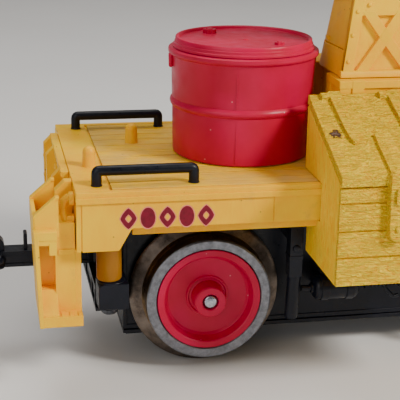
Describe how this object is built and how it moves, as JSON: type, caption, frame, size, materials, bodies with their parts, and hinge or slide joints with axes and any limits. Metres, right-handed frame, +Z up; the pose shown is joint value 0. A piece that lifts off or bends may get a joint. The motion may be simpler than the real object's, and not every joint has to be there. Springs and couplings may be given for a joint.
{
  "type": "model railway work car",
  "caption": "Motorised four-wheel work car for a garden railway: planked deck, oil drums, side tool boxes, braced tower and swivelling work platform.",
  "frame": {"origin": "on the ground plane (lowest point of the wheel flanges) under the middle of the car, the centre of the bounding box's base", "axes": "+X along the car towards its right end as seen from the near side, +Y across the car away from the near side, +Z up"},
  "size_m": [0.309, 0.1482, 0.1936],
  "materials": {
    "yellow_plastic": "satin moulded plastic, warm yellow, with moulded wood grain on the deck",
    "pale_yellow_plastic": "satin moulded plastic, pale yellow, with moulded plank grain",
    "red_plastic": "satin to glossy moulded plastic, crimson",
    "black_plastic": "satin black moulded plastic",
    "wheel_steel": "turned metal tyre, browned by use on the tread and flange",
    "plain_steel": "bright turned steel",
    "brass": "plain turned brass",
    "white_plastic": "natural white nylon",
    "green_board": "lacquered circuit board"
  },
  "bodies": {
    "car_body": {"deck_shell": "yellow_plastic", "end_beam_left": "yellow_plastic", "end_beam_right": "yellow_plastic", "corner_step_left": "yellow_plastic", "corner_step_right": "yellow_plastic", "tower_base": "yellow_plastic", "tower_shell": "yellow_plastic", "toolbox_near_body": "pale_yellow_plastic", "toolbox_far_body": "pale_yellow_plastic", "drum_left_body": "red_plastic", "drum_left_lid": "red_plastic", "drum_right_body": "red_plastic", "drum_right_lid": "red_plastic", "handrail_left_near": "black_plastic", "handrail_left_far": "black_plastic", "handrail_right_near": "black_plastic", "handrail_right_far": "black_plastic", "chassis_frame": "black_plastic", "bottom_cover": "black_plastic", "air_tank_near": "black_plastic", "air_tank_far": "black_plastic", "swivel_ring": "black_plastic", "swivel_pin": "plain_steel", "motor_can": "plain_steel", "coupler_left_pin": "plain_steel", "coupler_right_pin": "plain_steel", "chassis_screw_1": "plain_steel", "chassis_screw_2": "plain_steel", "chassis_screw_3": "plain_steel", "chassis_screw_4": "plain_steel", "circuit_board": "green_board", "bolster_left": "black_plastic", "bolster_right": "black_plastic", "brake_hanger_left_near": "black_plastic", "brake_hanger_left_far": "black_plastic", "brake_hanger_right_near": "black_plastic", "brake_hanger_right_far": "black_plastic"},
    "wheelset_left": {"axle_left": "plain_steel", "worm_gear_left": "white_plastic", "wheel_centre_left_near": "red_plastic", "wheel_centre_left_far": "red_plastic", "wheel_tyre_left_near": "wheel_steel", "wheel_tyre_left_far": "wheel_steel"},
    "wheelset_right": {"axle_right": "plain_steel", "worm_gear_right": "white_plastic", "wheel_centre_right_near": "red_plastic", "wheel_centre_right_far": "red_plastic", "wheel_tyre_right_near": "wheel_steel", "wheel_tyre_right_far": "wheel_steel"},
    "motor_rotor": {"motor_shaft": "plain_steel", "worm_left": "brass", "worm_right": "brass"},
    "coupler_left_arm": {"coupler_left": "black_plastic"},
    "coupler_right_arm": {"coupler_right": "black_plastic"},
    "platform": {"work_platform": "yellow_plastic", "platform_railing": "black_plastic", "platform_middle_rail": "black_plastic"},
    "lid_near": {"toolbox_near_lid": "pale_yellow_plastic"},
    "lid_far": {"toolbox_far_lid": "pale_yellow_plastic"},
    "switch_slider": {"power_switch": "white_plastic"}
  },
  "joints": [
    {"name": "wheelset_left_spin", "type": "hinge", "parent": "car_body", "child": "wheelset_left", "pos_m": [-0.067, 0, 0.029], "axis": [0, 1, 0], "continuous": true},
    {"name": "wheelset_right_spin", "type": "hinge", "parent": "car_body", "child": "wheelset_right", "pos_m": [0.067, 0, 0.029], "axis": [0, 1, 0], "continuous": true},
    {"name": "motor_spin", "type": "hinge", "parent": "car_body", "child": "motor_rotor", "pos_m": [0, 0, 0.043], "axis": [1, 0, 0], "continuous": true},
    {"name": "coupler_left_swing", "type": "hinge", "parent": "car_body", "child": "coupler_left_arm", "pos_m": [-0.104, 0, 0.0358], "axis": [0, 0, 1], "range_deg": [-15, 15]},
    {"name": "coupler_right_swing", "type": "hinge", "parent": "car_body", "child": "coupler_right_arm", "pos_m": [0.104, 0, 0.0358], "axis": [0, 0, 1], "range_deg": [-15, 15]},
    {"name": "platform_swivel", "type": "hinge", "parent": "car_body", "child": "platform", "pos_m": [0, 0, 0.1603], "axis": [0, 0, 1], "range_deg": [-90, 90]},
    {"name": "toolbox_near_lid_open", "type": "hinge", "parent": "car_body", "child": "lid_near", "pos_m": [0, -0.0304, 0.1054], "axis": [-1, 0, 0], "range_deg": [0, 85]},
    {"name": "toolbox_far_lid_open", "type": "hinge", "parent": "car_body", "child": "lid_far", "pos_m": [0, 0.0304, 0.1054], "axis": [1, 0, 0], "range_deg": [0, 85]},
    {"name": "power_switch_slide", "type": "slide", "parent": "car_body", "child": "switch_slider", "axis": [1, 0, 0], "range_m": [-0.002, 0.002]}
  ],
  "couplings": [
    {"joint": "wheelset_right_spin", "follows": "wheelset_left_spin", "ratio": 1},
    {"joint": "motor_spin", "follows": "wheelset_left_spin", "ratio": -20}
  ]
}
